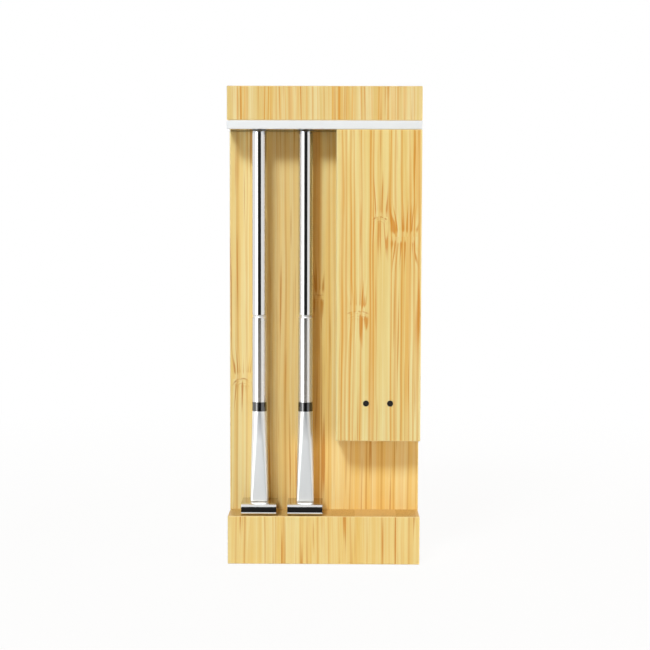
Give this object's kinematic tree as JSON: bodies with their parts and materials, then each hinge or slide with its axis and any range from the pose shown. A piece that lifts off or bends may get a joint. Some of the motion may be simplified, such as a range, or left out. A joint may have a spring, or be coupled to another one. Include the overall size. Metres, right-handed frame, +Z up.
{
  "type": "wireless meat thermometer set",
  "caption": "Wireless meat thermometer set: slim steel probes with facetted necks and T-shaped ends, parked upright in a bamboo charging block with a raised electronics housing.",
  "frame": {"origin": "middle of the underside, on the table", "axes": "+Z up, the front with the probes faces -Y, +X to the right seen from the front"},
  "size_m": [0.064, 0.0303, 0.1586],
  "materials": {
    "bamboo": "sanded and oiled laminated bamboo",
    "dowel_wood": "turned hardwood",
    "plate_metal": "satin with polished edges",
    "screw_steel": "zinc plated",
    "smoked_window": "smoked and glossy",
    "board_green": "solder mask",
    "led_white": "moulded",
    "chip_black": "moulded",
    "shield_steel": "stamped",
    "button_black": "moulded",
    "cell_foil": "foil pouch",
    "foam": "closed cell foam",
    "wire_red": "silicone insulation",
    "wire_black": "silicone insulation",
    "magnet": "nickel plated",
    "pad_rubber": "matte",
    "gold_contact": "gold plated",
    "spring_steel": "drawn wire",
    "polished_steel": "mirror polished stainless steel",
    "satin_steel": "polished edges and satin facets",
    "ceramic_black": "polished black zirconia"
  },
  "bodies": {
    "charger": {"bamboo_body": "bamboo", "top_cap": "bamboo", "electronics_cover": "bamboo", "cap_dowels": "dowel_wood", "contact_plate": "plate_metal", "plate_screws": "screw_steel", "board_screws": "screw_steel", "led_window_1": "smoked_window", "led_window_2": "smoked_window", "circuit_board": "board_green", "status_leds": "led_white", "main_chip": "chip_black", "pair_switch": "chip_black", "usb_tongue": "chip_black", "radio_module": "shield_steel", "usb_socket": "shield_steel", "battery_cell": "cell_foil", "battery_pad": "foam", "battery_leads": "wire_red", "tip_wires": "wire_red", "foot_wires": "wire_black", "back_magnets": "magnet", "base_pad": "pad_rubber", "tip_barrel_1": "gold_contact", "tip_barrel_2": "gold_contact", "foot_contact_1": "gold_contact", "foot_contact_2": "gold_contact", "tip_spring_1": "spring_steel", "tip_spring_2": "spring_steel"},
    "tip_plunger_1": {"tip_plunger_1": "gold_contact"},
    "probe_1": {"probe_shaft_1": "polished_steel", "ring_1": "ceramic_black", "neck_1": "satin_steel", "t_bar_1": "polished_steel", "sensor_board_1": "board_green", "probe_cell_1": "cell_foil"},
    "tip_plunger_2": {"tip_plunger_2": "gold_contact"},
    "probe_2": {"probe_shaft_2": "polished_steel", "ring_2": "ceramic_black", "neck_2": "satin_steel", "t_bar_2": "polished_steel", "sensor_board_2": "board_green", "probe_cell_2": "cell_foil"},
    "pair_button": {"pair_button": "button_black"}
  },
  "joints": [
    {"name": "tip_press_1", "type": "slide", "parent": "charger", "child": "tip_plunger_1", "axis": [0, 0, 1], "range_m": [0, 0.0015], "stiffness_N_per_m": 300, "springref_m": -0.002, "deforming": ["tip_spring_1"]},
    {"name": "probe_tilt_1", "type": "hinge", "parent": "tip_plunger_1", "child": "probe_1", "pos_m": [-0.02165, -0.0091, 0.14639], "axis": [-1, 0, 0], "range_deg": [0, 8]},
    {"name": "tip_press_2", "type": "slide", "parent": "charger", "child": "tip_plunger_2", "axis": [0, 0, 1], "range_m": [0, 0.0015], "stiffness_N_per_m": 300, "springref_m": -0.002, "deforming": ["tip_spring_2"]},
    {"name": "probe_tilt_2", "type": "hinge", "parent": "tip_plunger_2", "child": "probe_2", "pos_m": [-0.00625, -0.0091, 0.14639], "axis": [-1, 0, 0], "range_deg": [0, 8]},
    {"name": "pair_button_press", "type": "slide", "parent": "charger", "child": "pair_button", "axis": [0, 0, 1], "range_m": [0, 0.0005], "stiffness_N_per_m": 400, "springref_m": -0.0005}
  ]
}
